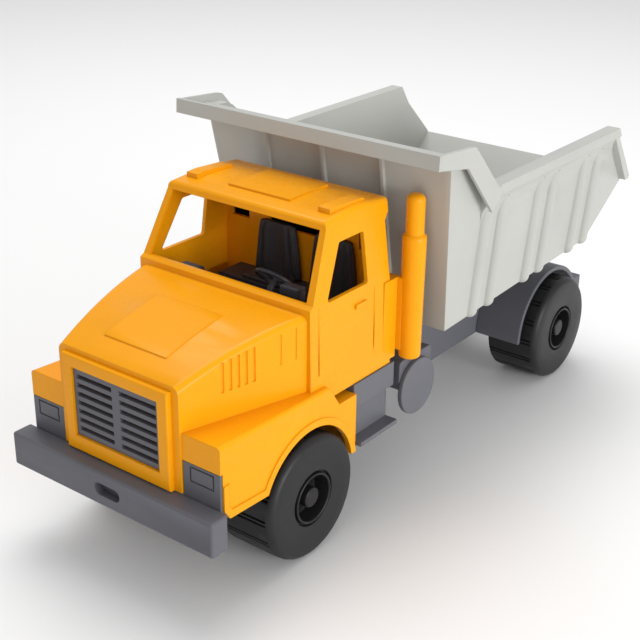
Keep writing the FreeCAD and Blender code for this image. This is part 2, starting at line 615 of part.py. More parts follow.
def side_step(name):
    """Grey sill under the door, a riser, and a tread, carried from the chassis on two arms."""
    sill = box(name + "_sill", ("57.6", "sill_out"), ("fender_end + 0.2", "160"), ("67.4", "81.8"))
    riser = box(name + "_riser", ("54.8", "57.8"), ("fender_end + 0.2", "step_end"), ("step_height", "81.8"))
    tread = box(name + "_tread", ("54", "step_out"), ("step_front", "step_end"),
                ("step_height - 1.2", "step_height + 1.4"))
    arms = [box(f"{name}_arm_{i}", ("beam_half", "55.4"), (at, f"{at} + 4"), ("46.2", "56"))
            for i, at in enumerate(("128", "148"))]
    return fuse(name, [sill, riser, tread] + arms)


def tank(name):
    """Air tank block on the chassis side, under the stack."""
    block = box(name + "_block", ("beam_half", "tank_out"), ("166", "198"), ("60", "78.6"))
    return rounded(name, block, 3, lambda edge: along("x")(edge))


def tank_cap(name):
    """Round end cap standing proud of its tank."""
    disc = rod(name + "_disc", "x", "tank_cap_radius", ("tank_out", "tank_at", "tank_height"), "3")
    return rounded(name, disc, 0.8, lambda edge: edge.CenterOfMass.x > 62 and len(edge.Vertexes) == 1)


def mudguard(name):
    """Half ring over the rear wheel, with an outer lip and a small flap at its tail."""
    ring = rod(name + "_ring", "x", "guard_radius", ("guard_in", "rear_axle_at", "wheel_radius"),
               "guard_out - guard_in")
    room = rod(name + "_room", "x", "guard_radius - guard_wall",
               ("guard_in - 1", "rear_axle_at", "wheel_radius"), "guard_out - guard_in + 2")
    below = box(name + "_below", ("0", "80"), ("290", "rear_axle_at + 20"), ("-10", "wheel_radius - 0.4"))
    behind = box(name + "_behind", ("0", "80"), ("rear_axle_at + 20", "420"), ("-10", "46"))
    flap = prism(name + "_flap", "x", [
        ("rear_axle_at + 38.2", "46"), ("rear_axle_at + 43.4", "46"), ("rear_axle_at + 43.4", "58"),
        ("rear_axle_at + 31", "58"), ("rear_axle_at + 33", "54")], "guard_in", "guard_out")
    room_again = rod(name + "_clear", "x", "guard_radius - guard_wall",
                     ("guard_in - 1", "rear_axle_at", "wheel_radius"), "guard_out - guard_in + 2")
    arc = cut(name + "_arc", ring, [room, below, behind])
    return fuse(name, [arc, cut(name + "_flap_cut", flap, [room_again])])


# ---------------------------------------------------------------- wheels

def turned(name, label, profile, side, axle, grooves=0):
    """A ring turned about its axle. The profile is (distance out from the middle, radius), with "arc"
    after a point that a round stretch passes through. The outline lies in the XZ plane through the axle,
    on the left (side 1) or the right (side -1)."""
    body = doc.addObject("PartDesign::Body", name)
    points = [(f"{side} * ({spot[0]})",) + spot[1:] for spot in profile]
    if side < 0:
        points.reverse()
    flat = sketch_on(body, name + "_profile", "XZ_Plane", points)
    ring = body.newObject("PartDesign::Revolution", name + "_turned")
    ring.Profile = flat
    ring.ReferenceAxis = (next(a for a in body.Origin.OriginFeatures if a.Role == "X_Axis"), [""])
    ring.Angle = 360
    if grooves:
        doc.recompute()
        low, high = ("tyre_inner - 1", "tyre_outer - 5")
        if side < 0:
            low, high = f"-({high})", f"-({low})"
        strip = sketch_on(body, name + "_tread", "XY_Plane", [
            (low, "-1.9"), (high, "-1.9"), (high, "-0.7"), (low, "-0.7")])
        second = sketch_on(body, name + "_tread_b", "XY_Plane", [
            (low, "0.7"), (high, "0.7"), (high, "1.9"), (low, "1.9")])
        tools = []
        for number, sketch in enumerate((strip, second)):
            sketch.AttachmentOffset = Placement(Vector(0, 0, 0), Rotation())
            bind(sketch, AttachmentOffset__Base__z="wheel_radius - 1.3")
            groove = body.newObject("PartDesign::Pocket", f"{name}_groove_{number}")
            groove.Profile = sketch
            groove.Length = 5
            groove.Reversed = True
            tools.append(groove)
        pattern = body.newObject("PartDesign::PolarPattern", name + "_all_grooves")
        pattern.Originals = tools
        pattern.Axis = (next(a for a in body.Origin.OriginFeatures if a.Role == "X_Axis"), [""])
        pattern.Angle = 360
        pattern.Occurrences = grooves
        body.Tip = pattern
    bind(body, Placement__Base__z="wheel_radius")
    body.Label = label
    bind(body, Placement__Base__y=f"{axle} - overall_length / 2")
    nodes.append(body)


TYRE = [("tyre_inner", "wheel_radius - 4.6"), ("tyre_inner", "wheel_radius - 1.4"),
        ("tyre_inner + 1.4", "wheel_radius"), ("tyre_outer - 4.4", "wheel_radius"),
        ("tyre_outer - 1.68", "wheel_radius - 0.88", "arc"), ("tyre_outer", "wheel_radius - 3.2"),
        ("tyre_outer", "tyre_hole + 0.5"), ("tyre_outer - 0.5", "tyre_hole"),
        ("tyre_outer - 3.6", "tyre_hole"), ("tyre_outer - 3.6", "wheel_radius - 6"),
        ("tyre_outer - 5.4", "wheel_radius - 4.6")]
HUB = [("beam_half + 0.6", "axle_radius"), ("beam_half + 0.6", "6.6"), ("54", "6.6"), ("54", "12.4"),
       ("60.4", "tyre_hole"), ("tyre_outer - 2", "tyre_hole"), ("tyre_outer - 2", "14.3"),
       ("tyre_outer + 0.1", "14.1"), ("tyre_outer + 0.6", "13.6"), ("tyre_outer + 0.6", "13.2"),
       ("tyre_outer + 0.1", "12.7"), ("56.8", "12.4"), ("56.8", "5.8"), ("tyre_outer - 1.4", "5.6"),
       ("tyre_outer - 0.7", "4.9"), ("tyre_outer - 0.7", "0"), ("tyre_outer - 4", "0"),
       ("tyre_outer - 4", "axle_radius")]


def wheels():
    """Two wheelsets: a steel axle with a hub pressed on each end and a tyre around each hub."""
    for end, axle in (("front", "front_axle_at"), ("rear", "rear_axle_at")):
        for side, sign in (("left", 1), ("right", -1)):
            turned(f"tyre_{end}_{side}_body", f"tyre_{end}_{side}", TYRE, sign, axle, grooves=16)
            turned(f"hub_{end}_{side}_body", f"wheel_hub_{end}_{side}", HUB, sign, axle)
        steel = rod(f"{end}_axle_rod", "x", "axle_radius", ("-tyre_outer + 4", axle, "wheel_radius"),
                    "2 * (tyre_outer - 4)")
        node(fuse_one(f"{end}_axle_shape", steel), f"{end}_axle")


def fuse_one(name, thing):
    """A finished piece that carries its own placement on top of the one it was drawn with."""
    held = doc.addObject("Part::Compound", name)
    held.Links = [thing]
    return held


# ---------------------------------------------------------------- dump body

def bed_block(name, inset):
    """Dump body's mass: the side outline with its scow tail, trimmed to sides that lean out."""
    slope = "(bed_half_rim - bed_half_low) / (rim - bed_low)"
    if inset == "0":
        points = [
            ("bed_front_low_at", "bed_low"), ("kink_at", "kink_height"), ("tail_at", "tail_height"),
            ("tail_at + 1.6", "tail_height + 4.6"), ("rim_end", "rim"), ("notch_at", "rim"),
            ("wing_end", "wing_height - 5.5"), ("bed_front_high_at + 1", "shelf_high"),
            ("bed_front_high_at", "shelf_high")]
    else:
        points = [
            ("bed_front_low_at + 2.8", "bed_low + 2.8"), ("kink_at - 0.8", "kink_height + bed_wall"),
            ("tail_at + 10", "tail_height + 10.6"), ("tail_at + 10", "240"),
            ("bed_front_high_at - 3", "240"), ("bed_front_high_at + bed_wall - 0.2", "lip_high")]
    side = prism(name + "_side", "x", points, "-100", "100")
    low_half = f"bed_half_low - ({inset}) - 20 * {slope}"
    high_half = f"bed_half_low - ({inset}) + 130 * {slope}"
    face = prism(name + "_face", "y", [
        (f"-({low_half})", "bed_low - 20"), (low_half, "bed_low - 20"),
        (high_half, "bed_low + 130"), (f"-({high_half})", "bed_low + 130")], "100", "430")
    return common(name, [side, face])


def bed_rim(name):
    """Left rim: a flared band, the wing's ledge let down behind an upright skirt, and the tail flange."""
    band = prism(name + "_band", "y", [
        ("rim_in", "rim"), ("rim_in", "152"), ("79.3", "150"), ("81.7", "159.8", "arc"),
        ("rim_out", "168.4"), ("rim_out", "rim")], "204", "400")
    band_end = prism(name + "_band_end", "x", [
        ("notch_at - 8", "rim + 10"), ("notch_at - 2.5", "148"), ("384", "148"),
        ("rim_end + 4.4", "rim + 0.1"), ("rim_end", "rim + 10")], "70", "95")
    wing_ledge = prism(name + "_wing_ledge", "x", [
        ("lip_front", "shelf_high - sheet_wall"), ("wing_end - 0.6", "wing_height - 7.7"),
        ("notch_at - 2", "rim - 3"), ("notch_at + 1.2", "rim"), ("wing_end", "wing_height - 5.5"),
        ("wing_end - 4", "shelf_high - 1"), ("lip_front", "shelf_high")],
        "rim_in", "lip_half - 0.6")
    wing_skirt = prism(name + "_wing_skirt", "x", [
        ("lip_front", "lip_high"), ("lip_front", "lip_high - lip_deep"), ("180", "192.6"),
        ("208", "161.4"), ("notch_at + 3", "167.6"), ("notch_at + 3", "rim"), ("notch_at", "rim + 0.6"),
        ("wing_end", "wing_height"), ("wing_end - 4", "lip_high - 2.6")], "rim_out - 0.4", "lip_half - 0.6")
    tail = prism(name + "_tail", "x", [
        ("tail_at - 3.2", "tail_height + 0.6"), ("tail_at + 1.2", "tail_height + 0.6"),
        ("tail_at + 1.6", "tail_height + 3"), ("rim_end + 1", "rim"), ("rim_end - 3", "rim"),
        ("rim_end + 1.4", "167.6")], "70", "95")
    tail_face = prism(name + "_tail_face", "y", [
        ("75.6", "tail_height - 1"), ("82.6", "tail_height - 1"), ("rim_out", "rim"), ("79", "rim")],
        "300", "430")
    return fuse(name, [common(name + "_band_trim", [band, band_end]), wing_ledge, wing_skirt,
                       common(name + "_tail_trim", [tail, tail_face])])


def bed_bead(number, at):
    """One round-faced stiffening bead on the left wall, leaning with it, with a rounded foot."""
    name = f"bed_bead_{number}"
    bead = doc.addObject("Part::Cylinder", name)
    spread = sheet_value("bed_half_rim - bed_half_low")
    lean = math.degrees(math.atan2(spread, sheet_value("rim - bed_low")))
    bead.Placement = Placement(Vector(), Rotation(Vector(0, 1, 0), lean))
    bead.Radius = 4.4
    climb = "(kink_height - bed_low) / (kink_at - bed_front_low_at)"
    low = f"bed_low + 2.6 + ({at} - bed_front_low_at) * {climb}"
    place(bead, f"bed_half_low - 1.1 + ({low} - bed_low) * 0.085", at, low)
    bind(bead, Height=f"164 - ({low})")
    doc.recompute()
    foot = doc.addObject("Part::Sphere", name + "_foot")
    foot.Radius = 4.4
    place(foot, f"bed_half_low - 1.1 + ({low} - bed_low) * 0.085", at, low)
    return fuse(name + "_shape", [bead, foot])


def dump_body():
    """Open bed with a scow tail, rim flange, canopy lip, beads, floor rails and hinge lugs."""
    outer = bed_block("bed_outer", "0")
    inner = bed_block("bed_inner", "bed_wall")
    shell = cut("bed_shell", outer, [inner])
    rim_left = bed_rim("bed_rim_left")
    rim_right = mirrored("bed_rim_right", rim_left)
    canopy = box("canopy_shelf", ("-lip_half + 0.6", "lip_half - 0.6"),
                 ("lip_front", "bed_front_high_at + 2.4"), ("shelf_high - sheet_wall", "shelf_high"))
    skirt = prism("canopy_skirt", "x", [
        ("lip_front", "lip_high"), ("lip_front - 0.4", "lip_high - lip_deep"),
        ("lip_front + 1.8", "lip_high - lip_deep"), ("lip_front + 2.2", "lip_high")],
        "-lip_half", "lip_half")
    beads = [bed_bead(i, at) for i, at in enumerate(("215.5", "233.9", "275.5", "293.5", "332.5", "351.5"))]
    bead_group = fuse("bed_beads_left", beads)
    bead_trim = cut("bed_beads_trim", bead_group, [bed_block("bed_inner_again", "bed_wall - 0.6")])
    bead_right = mirrored("bed_beads_right", bead_trim)
    fins = [prism(f"front_fin_{i}", "x", [
        ("bed_front_low_at + 0.5", "bed_low"), ("bed_front_low_at - 2.6", "bed_low + 2"),
        ("bed_front_high_at - 2", "shelf_high - 1"), ("bed_front_high_at + 1", "shelf_high - 1")],
        f"{x} - 1.1", f"{x} + 1.1") for i, x in enumerate(("-40", "0", "40"))]
    rails = [prism(f"floor_rail_{side}", "x", [
        ("196", "deck_height"), ("346", "deck_height"), ("348", "kink_height"), ("356", "kink_height + 1"),
        ("194", "bed_low + 1")], low, high)
        for side, low, high in (("left", "15", "19"), ("right", "-19", "-15"))]
    lugs = []
    for side, low in (("left", "15"), ("right", "-19")):
        plate = prism(f"lug_plate_{side}", "x", [
            ("hinge_at - 6", "hinge_height"), ("hinge_at + 6", "hinge_height"), ("hinge_at + 6", "108.8"),
            ("kink_at", "kink_height + 1"), ("hinge_at - 14", "kink_height + 0.6")], low, f"{low} + 4")
        round_end = rod(f"lug_round_{side}", "x", "6", (low, "hinge_at", "hinge_height"), "4")
        bore = rod(f"lug_bore_{side}", "x", "pin_radius + running_gap", (f"{low} - 1", "hinge_at",
                                                                         "hinge_height"), "6")
        lugs.append(cut(f"lug_{side}", fuse(f"lug_solid_{side}", [plate, round_end]), [bore]))
    node(fuse("dump_body_shape", [shell, rim_left, rim_right, canopy, skirt, bead_trim, bead_right]
              + fins + rails + lugs), "dump_body")


def hinge_pin():
    """Steel pin across the chassis ears, and the push-on caps that hold it."""
    pin = rod("hinge_pin_rod", "x", "pin_radius", ("-beam_half - 2.6", "hinge_at", "hinge_height"),
              "2 * beam_half + 5.2")
    node(fuse_one("hinge_pin_shape", pin), "hinge_pin")
    caps = []
    for side, low, hole in (("left", "beam_half", "beam_half - 1"),
                            ("right", "-beam_half - 4", "-beam_half - 2.6")):
        cap = rod(f"pin_cap_disc_{side}", "x", "4.6", (low, "hinge_at", "hinge_height"), "4")
        bore = rod(f"pin_cap_bore_{side}", "x", "pin_radius", (hole, "hinge_at", "hinge_height"), "3.6")
        caps.append(cut(f"pin_cap_{side}", cap, [bore]))
    group = doc.addObject("Part::Compound", "hinge_pin_caps_shape")
    group.Links = caps
    node(group, "hinge_pin_caps")


def cab_screws():
    """Screws driven up through the beam's deck into the cab's and the tub's posts."""
    screws = []
    for i, (x, y) in enumerate(SCREWS):
        head = rod(f"screw_head_{i}", "z", "2.7", (x, y, "beam_top_front - beam_wall - 2"), "2")
        shank = rod(f"screw_shank_{i}", "z", "screw_radius", (x, y, "beam_top_front - beam_wall"), "11")
        cross = [box(f"screw_cross_{i}_{way}", (f"{x} - {a}", f"{x} + {a}"), (f"{y} - {b}", f"{y} + {b}"),
                     ("beam_top_front - beam_wall - 3", "beam_top_front - beam_wall - 1"))
                 for way, a, b in (("x", "1.6", "0.35"), ("y", "0.35", "1.6"))]
        screws.append(cut(f"screw_{i}", fuse(f"screw_solid_{i}", [head, shank]), cross))
    group = doc.addObject("Part::Compound", "cab_screws_shape")
    group.Links = screws
    node(group, "cab_screws")


def build():
    chassis()
    bumper()
    grille()
    both_sides(headlight, "headlight")
    cab_shell()
    cab_interior()
    seat("driver_seat", "23.5")
    seat("passenger_seat", "-15.5")
    steering_wheel()
    node(exhaust_stack("exhaust_stack_shape"), "exhaust_stack")
    both_sides(side_step, "side_step")
    both_sides(tank, "air_tank")
    both_sides(tank_cap, "tank_cap")
    both_sides(mudguard, "rear_mudguard")
    wheels()
    dump_body()
    hinge_pin()
    cab_screws()
    doc.recompute()


def export():
    os.makedirs("parts", exist_ok=True)
    for thing in doc.Objects:
        wrong = [word for word in ("Invalid", "Error") if word in thing.State]
        if wrong:
            raise RuntimeError(f"{thing.Name} ({thing.Label}) is {wrong}")
    for thing in nodes:
        shape = thing.Shape
        if shape.isNull() or not shape.isValid() or not shape.Solids:
            raise RuntimeError(f"{thing.Label} has no valid solid")
        shape.exportStep(f"parts/{thing.Label}.step")
        print(thing.Label, len(shape.Solids), "solid(s)", round(shape.Volume / 1000, 2), "cm3")


build()
export()
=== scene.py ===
import json
import math

import bmesh
import bpy
import numpy as np
from bpy.props import FloatProperty, FloatVectorProperty, IntProperty, PointerProperty
from mathutils import Matrix, Vector


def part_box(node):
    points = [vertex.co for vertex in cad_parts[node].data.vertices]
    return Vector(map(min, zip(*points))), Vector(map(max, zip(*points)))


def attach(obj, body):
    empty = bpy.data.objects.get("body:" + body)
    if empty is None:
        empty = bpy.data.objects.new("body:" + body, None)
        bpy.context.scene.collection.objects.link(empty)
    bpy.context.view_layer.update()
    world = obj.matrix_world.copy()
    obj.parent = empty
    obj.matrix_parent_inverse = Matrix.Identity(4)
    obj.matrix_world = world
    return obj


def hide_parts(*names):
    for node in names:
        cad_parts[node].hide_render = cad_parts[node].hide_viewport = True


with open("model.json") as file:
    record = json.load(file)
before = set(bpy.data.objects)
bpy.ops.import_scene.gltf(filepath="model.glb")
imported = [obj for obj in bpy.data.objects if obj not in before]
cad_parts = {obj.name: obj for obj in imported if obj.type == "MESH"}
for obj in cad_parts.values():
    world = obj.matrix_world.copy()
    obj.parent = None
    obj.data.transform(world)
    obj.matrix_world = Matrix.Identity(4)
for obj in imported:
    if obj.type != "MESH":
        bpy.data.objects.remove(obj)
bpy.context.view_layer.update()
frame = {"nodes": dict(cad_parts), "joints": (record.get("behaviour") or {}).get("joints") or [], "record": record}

bl_info = {
    "name": "Toy dump truck",
    "version": (1, 0, 0),
    "blender": (4, 5, 0),
    "location": "3D View > Sidebar > Dump truck",
    "description": "Finishes a moulded plastic toy dump truck around its packed frame",
    "category": "Object",
}

# ------------------------------------------------------------------ places in the frame

AXLE = {}
for _joint in frame["joints"]:
    if _joint.get("continuous"):
        AXLE[_joint["child"]] = Vector(_joint["pos_m"])
WHEEL_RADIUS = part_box("tyre_front_left")[1].z / 2
TYRE_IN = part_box("tyre_front_left")[0].x
TYRE_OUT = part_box("tyre_front_left")[1].x
PIPE_RADIUS = 0.0068
FLANGE_FRONT = -0.037
SHOULDER = 0.155
DOME = 0.0034


# ------------------------------------------------------------------ shader arithmetic

class Wire:
    """A shader socket. Python arithmetic on it adds the Math nodes that work it out."""

    def __init__(self, graph, socket):
        self.graph = graph
        self.socket = socket

    def _math(self, operation, first, second=None, third=None, clamp=False):
        values = {i: v for i, v in enumerate((first, second, third)) if v is not None}
        return self.graph.add("ShaderNodeMath", {"operation": operation, "use_clamp": clamp}, values)

    def __add__(self, other):
        return self._math("ADD", self, other)

    def __radd__(self, other):
        return self._math("ADD", other, self)

    def __sub__(self, other):
        return self._math("SUBTRACT", self, other)

    def __rsub__(self, other):
        return self._math("SUBTRACT", other, self)

    def __mul__(self, other):
        return self._math("MULTIPLY", self, other)

    def __rmul__(self, other):
        return self._math("MULTIPLY", other, self)

    def __truediv__(self, other):
        return self._math("DIVIDE", self, other)

    def __pow__(self, other):
        return self._math("POWER", self, other)

    def above(self, edge, soft):
        """0 below edge, 1 above it, with a ramp of width soft between."""
        return self._math("MULTIPLY_ADD", self, 1.0 / soft, 0.5 - edge / soft, clamp=True)


class Graph:
    """One material's node tree, with a Principled shader waiting for its inputs."""

    def __init__(self, name, **constants):
        self.material = bpy.data.materials.new(name)
        self.material.use_nodes = True
        self.tree = self.material.node_tree
        self.tree.nodes.clear()
        output = self.tree.nodes.new("ShaderNodeOutputMaterial")
        self.shader = self.tree.nodes.new("ShaderNodeBsdfPrincipled")
        self.tree.links.new(self.shader.outputs[0], output.inputs["Surface"])
        for socket, value in constants.items():
            self.shader.inputs[socket.replace("_", " ")].default_value = value
        self.place = self.add("ShaderNodeTexCoord", {}, {}, output="Object")

    def add(self, kind, settings, inputs, output=0):
        """A node of any kind: its settings first (a ramp's stops go under "stops"), then its inputs,
        each a plain value or a Wire. Gives one output as a Wire."""
        node = self.tree.nodes.new(kind)
        for name, value in settings.items():
            if name == "stops":
                ramp = node.color_ramp
                for extra in range(len(value) - len(ramp.elements)):
                    ramp.elements.new(0.5)
                for element, (position, colour) in zip(ramp.elements, value):
                    element.position = position
                    element.color = colour
            else:
                setattr(node, name, value)
        for name, value in inputs.items():
            if isinstance(value, Wire):
                self.tree.links.new(value.socket, node.inputs[name])
            else:
                node.inputs[name].default_value = value
        return Wire(self, node.outputs[output])

    def noise(self, scale, detail=2.0, roughness=0.5, stretch=(1, 1, 1)):
        """Soft noise of scale lumps to the metre, drawn out along an axis where stretch is below 1."""
        spot = self.add("ShaderNodeMapping", {}, {"Vector": self.place, "Scale": stretch})
        return self.add("ShaderNodeTexNoise", {}, {"Vector": spot, "Scale": scale, "Detail": detail,
                                                   "Roughness": roughness}, output="Fac")

    def mix(self, factor, first, second):
        """Colour between first and second; A and B are the colour sockets of the Mix node."""
        node = self.tree.nodes.new("ShaderNodeMix")
        node.data_type = "RGBA"
        for name, value in (("Factor", factor), ("A", first), ("B", second)):
            kinds = [s for s in node.inputs if s.name == name and s.enabled]
            if isinstance(value, Wire):
                self.tree.links.new(value.socket, kinds[0])
            else:
                kinds[0].default_value = value
        return Wire(self, next(s for s in node.outputs if s.enabled))

    def bump(self, height, distance, strength=1.0, normal=None):
        inputs = {"Height": height, "Distance": distance, "Strength": strength}
        if normal is not None:
            inputs["Normal"] = normal
        return self.add("ShaderNodeBump", {}, inputs, output="Normal")

    def finish(self, **links):
        for socket, wire in links.items():
            self.tree.links.new(wire.socket, self.shader.inputs[socket.replace("_", " ")])
        return self.material


def tone(colour, gain):
    return [min(1.0, c * gain) for c in colour[:3]] + [1.0]


def moulded_plastic(name, colour, roughness, grain, mottle=0.05, shine=0.3, scuffs=0.3, edge=0.0005):
    """Injection-moulded plastic: faint flow mottling, a fine grained skin, patchy gloss where hands
    have been, and hair-thin scuffs."""
    g = Graph(name, IOR=1.48, Specular_IOR_Level=shine)
    flow = g.noise(26, detail=3, stretch=(1, 0.5, 1))
    skin = g.noise(3200, detail=1)
    handling = g.noise(75, detail=4, roughness=0.6)
    scratch_a = g.noise(900, detail=2, stretch=(1, 0.035, 0.5))
    scratch_b = g.noise(800, detail=2, stretch=(0.05, 1, 0.4))
    marks = scratch_a.above(0.70, 0.05) + scratch_b.above(0.71, 0.05)
    light = g.mix(flow.above(0.5, 0.5), tone(colour, 1 - mottle), tone(colour, 1 + mottle))
    base = g.mix(marks * (0.10 * scuffs), light, tone(colour, 1.7))
    gloss = roughness + (handling - 0.5) * 0.12 + marks * (0.10 * scuffs) + (skin - 0.5) * 0.05
    rounded = g.add("ShaderNodeBevel", {"samples": 4}, {"Radius": edge})
    height = skin * grain - marks * (0.4 * scuffs * grain)
    return g.finish(Base_Color=base, Roughness=gloss, Normal=g.bump(height, 0.0001, normal=rounded))


def tyre_plastic(name, colour, roughness):
    """Hard black wheel plastic, a little chalky, with handling dust on its outer skin."""
    g = Graph(name, IOR=1.5, Specular_IOR_Level=0.28)
    dust = g.noise(60, detail=5, roughness=0.65)
    skin = g.noise(2600, detail=2)
    scuff = g.noise(700, detail=3, stretch=(0.3, 1, 1)).above(0.66, 0.08)
    base = g.mix(dust.above(0.55, 0.4) * 0.5, tone(colour, 1.0), tone(colour, 1.5))
    base = g.mix(scuff * 0.15, base, tone(colour, 2.6))
    gloss = roughness + (dust - 0.5) * 0.25 + scuff * 0.08
    return g.finish(Base_Color=base, Roughness=gloss, Normal=g.bump(skin - scuff * 0.5, 0.00008))


def drawn_steel(name):
    """Bright drawn steel with fine lines along the rod and a few duller patches."""
    g = Graph(name, Metallic=1.0)
    lines = g.noise(1500, detail=3, stretch=(0.02, 1, 1))
    patches = g.noise(140, detail=3)
    base = g.mix(lines, [0.42, 0.42, 0.44, 1], [0.62, 0.62, 0.64, 1])
    return g.finish(Base_Color=base, Roughness=0.22 + patches * 0.2, Normal=g.bump(lines, 0.00002))


def floor_paint(name, colour):
    g = Graph(name, Roughness=0.7)
    drift = g.noise(1.4, detail=2)
    return g.finish(Base_Color=g.mix(drift, tone(colour, 0.985), tone(colour, 1.0)))


MATERIALS = {}


def material(name):
    """Each finish is made once, from the add-on's own settings."""
    look = bpy.context.scene.truck_colours
    if name not in MATERIALS:
        makers = {
            "cab_plastic": lambda: moulded_plastic("orange plastic", look.cab, look.cab_gloss, 0.10, 0.03, 0.16),
            "bed_plastic": lambda: moulded_plastic("light grey plastic", look.bed, look.bed_gloss, 0.22, 0.03),
            "chassis_plastic": lambda: moulded_plastic("slate grey plastic", look.chassis, 0.42, 0.35, 0.05),
            "step_plastic": lambda: moulded_plastic("mid grey plastic", look.step, 0.42, 0.35, 0.05),
            "trim_plastic": lambda: moulded_plastic("grille plastic", look.chassis, 0.38, 0.25, 0.05),
            # The seat plastic takes the interior colour, partly painted shade of the cab's inside.
            "interior_plastic": lambda: moulded_plastic("seat plastic", look.interior, 0.45, 0.4, 0.08),
            "tyre_plastic": lambda: tyre_plastic("tyre plastic", look.tyre, 0.42),
            # The wheel centres' darker colour is partly painted shade for the hub recess.
            "wheel_plastic": lambda: tyre_plastic("wheel plastic", look.wheel, 0.34),
            "steel": lambda: drawn_steel("drawn steel"),
        }
        MATERIALS[name] = makers[name]()
    return MATERIALS[name]


SLOT_OF = {part["node"]: part["material_slot"] for part in frame["record"]["subparts"]}
BODY_OF = {node: body for body, nodes in frame["record"]["behaviour"]["bodies"].items() for node in nodes}


# ------------------------------------------------------------------ making pieces

def link(mesh, name, node, smooth=True):
    """Put a mesh in the scene as the piece that stands for a frame node and moves with its body."""
    piece = bpy.data.objects.new(name, mesh)
    bpy.context.scene.collection.objects.link(piece)
    if smooth:
        mesh.polygons.foreach_set("use_smooth", np.ones(len(mesh.polygons), bool))
    mesh.materials.clear()
    mesh.materials.append(material(SLOT_OF[node]))
    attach(piece, BODY_OF[node])
    return piece


def grid_faces(rows, columns, offset=0, wrap_rows=False, wrap_columns=True):
    """Quads over a rows by columns grid of points, closed round in either direction."""
    i = np.arange(rows if wrap_rows else rows - 1)
    j = np.arange(columns if wrap_columns else columns - 1)
    i, j = (a.ravel() for a in np.meshgrid(i, j, indexing="ij"))
    up, along = (i + 1) % rows, (j + 1) % columns
    return offset + np.stack((i * columns + j, i * columns + along, up * columns + along,
                              up * columns + j), axis=1)


class Surfaces:
    """Grids of points gathered into one mesh."""

    def __init__(self):
        self.points = []
        self.faces = []
        self.count = 0

    def add(self, grid, wrap_rows=False, wrap_columns=True):
        rows, columns = grid.shape[:2]
        self.faces.append(grid_faces(rows, columns, self.count, wrap_rows, wrap_columns))
        self.points.append(grid.reshape(-1, 3))
        self.count += rows * columns
        return self

    def mesh(self, name):
        """Doubles at poles and seams merged, and every closed shell turned to face outwards."""
        made = bpy.data.meshes.new(name)
        made.from_pydata(np.concatenate(self.points).tolist(), [], np.concatenate(self.faces).tolist())
        work = bmesh.new()
        work.from_mesh(made)
        bmesh.ops.remove_doubles(work, verts=work.verts, dist=1e-6)
        bmesh.ops.dissolve_degenerate(work, edges=work.edges, dist=1e-7)
        bmesh.ops.recalc_face_normals(work, faces=work.faces)
        work.to_mesh(made)
        work.free()
        made.update()
        return made


def softened_profile(corners, steps=4):
    """A closed outline from rows of (across, radius, rounding): each corner becomes a short curve,
    the quadratic blend of its two tangent points and the corner itself."""
    corners = np.array(corners, float)
    spot, rounding = corners[:, :2], corners[:, 2:3]
    to_last = np.roll(spot, 1, axis=0) - spot
    to_next = np.roll(spot, -1, axis=0) - spot
    last_length = np.linalg.norm(to_last, axis=1, keepdims=True)
    next_length = np.linalg.norm(to_next, axis=1, keepdims=True)
    start = spot + to_last / last_length * np.minimum(rounding, last_length * 0.45)
    end = spot + to_next / next_length * np.minimum(rounding, next_length * 0.45)
    t = np.linspace(0, 1, steps + 1)[None, :, None]
    curve = start[:, None] * (1 - t) ** 2 + 2 * spot[:, None] * t * (1 - t) + end[:, None] * t ** 2
    return curve.reshape(-1, 2)


def turned_round(profile, centre, side, count=160, shift=None):
    """A closed outline (distance out, radius) carried round the X axis through centre: the point at
    angle a is (side * out, radius * cos a, radius * sin a). shift lowers the radius by angle."""
    angle = np.linspace(0, 2 * np.pi, count, endpoint=False) if shift is None else shift[0]
    out, radius = (profile[:, k][:, None] * np.ones_like(angle)[None, :] for k in (0, 1))
    if shift is not None:
        radius = radius - shift[1]
    return np.stack((side * out, centre.y + radius * np.cos(angle), centre.z + radius * np.sin(angle)),
                    axis=-1)


def rounded_block(low, high, radius, rows=16, columns=32):
    """A block with rounded edges: each direction n on a sphere gives the point
    corner(sign of n) + radius * n, so flat faces open up between the eight rounded corners."""
    low, high = np.array(low, float), np.array(high, float)
    radius = min(radius, float((high - low).min()) / 2 - 1e-6)
    polar = (np.arange(rows) + 0.5) / rows * np.pi
    turn = (np.arange(columns) + 0.5) / columns * 2 * np.pi
    polar, turn = np.meshgrid(polar, turn, indexing="ij")
    way = np.stack((np.sin(polar) * np.cos(turn), np.sin(polar) * np.sin(turn), np.cos(polar)), axis=-1)
    grid = (low + high) / 2 + np.sign(way) * ((high - low) / 2 - radius) + radius * way
    top, bottom = grid[:1].mean(axis=1, keepdims=True), grid[-1:].mean(axis=1, keepdims=True)
    return np.concatenate((np.repeat(top, columns, axis=1), grid, np.repeat(bottom, columns, axis=1)))


def tube_round(path, radius, count=16, closed=True):
    """A round tube along a path of points: each ring is the path point plus radius times the cosine and
    sine of the angle along two directions square to the path."""
    path = np.array(path, float)
    ahead = np.roll(path, -1, axis=0) - np.roll(path, 1, axis=0) if closed else np.gradient(path, axis=0)
    ahead /= np.linalg.norm(ahead, axis=1, keepdims=True)
    aside = np.cross(ahead, np.array((0.31, 0.17, 0.93)))
    aside /= np.linalg.norm(aside, axis=1, keepdims=True)
    across = np.cross(ahead, aside)
    angle = np.linspace(0, 2 * np.pi, count, endpoint=False)[None, :, None]
    radius = np.broadcast_to(np.array(radius, float).reshape(-1, 1, 1), (len(path), 1, 1))
    return path[:, None] + radius * (np.cos(angle) * aside[:, None] + np.sin(angle) * across[:, None])


def capped(grid):
    """Close an open tube by gathering its first and last rings to their middles."""
    first, last = grid[:1].mean(axis=1, keepdims=True), grid[-1:].mean(axis=1, keepdims=True)
    columns = grid.shape[1]
    return np.concatenate((np.repeat(first, columns, axis=1), grid, np.repeat(last, columns, axis=1)))


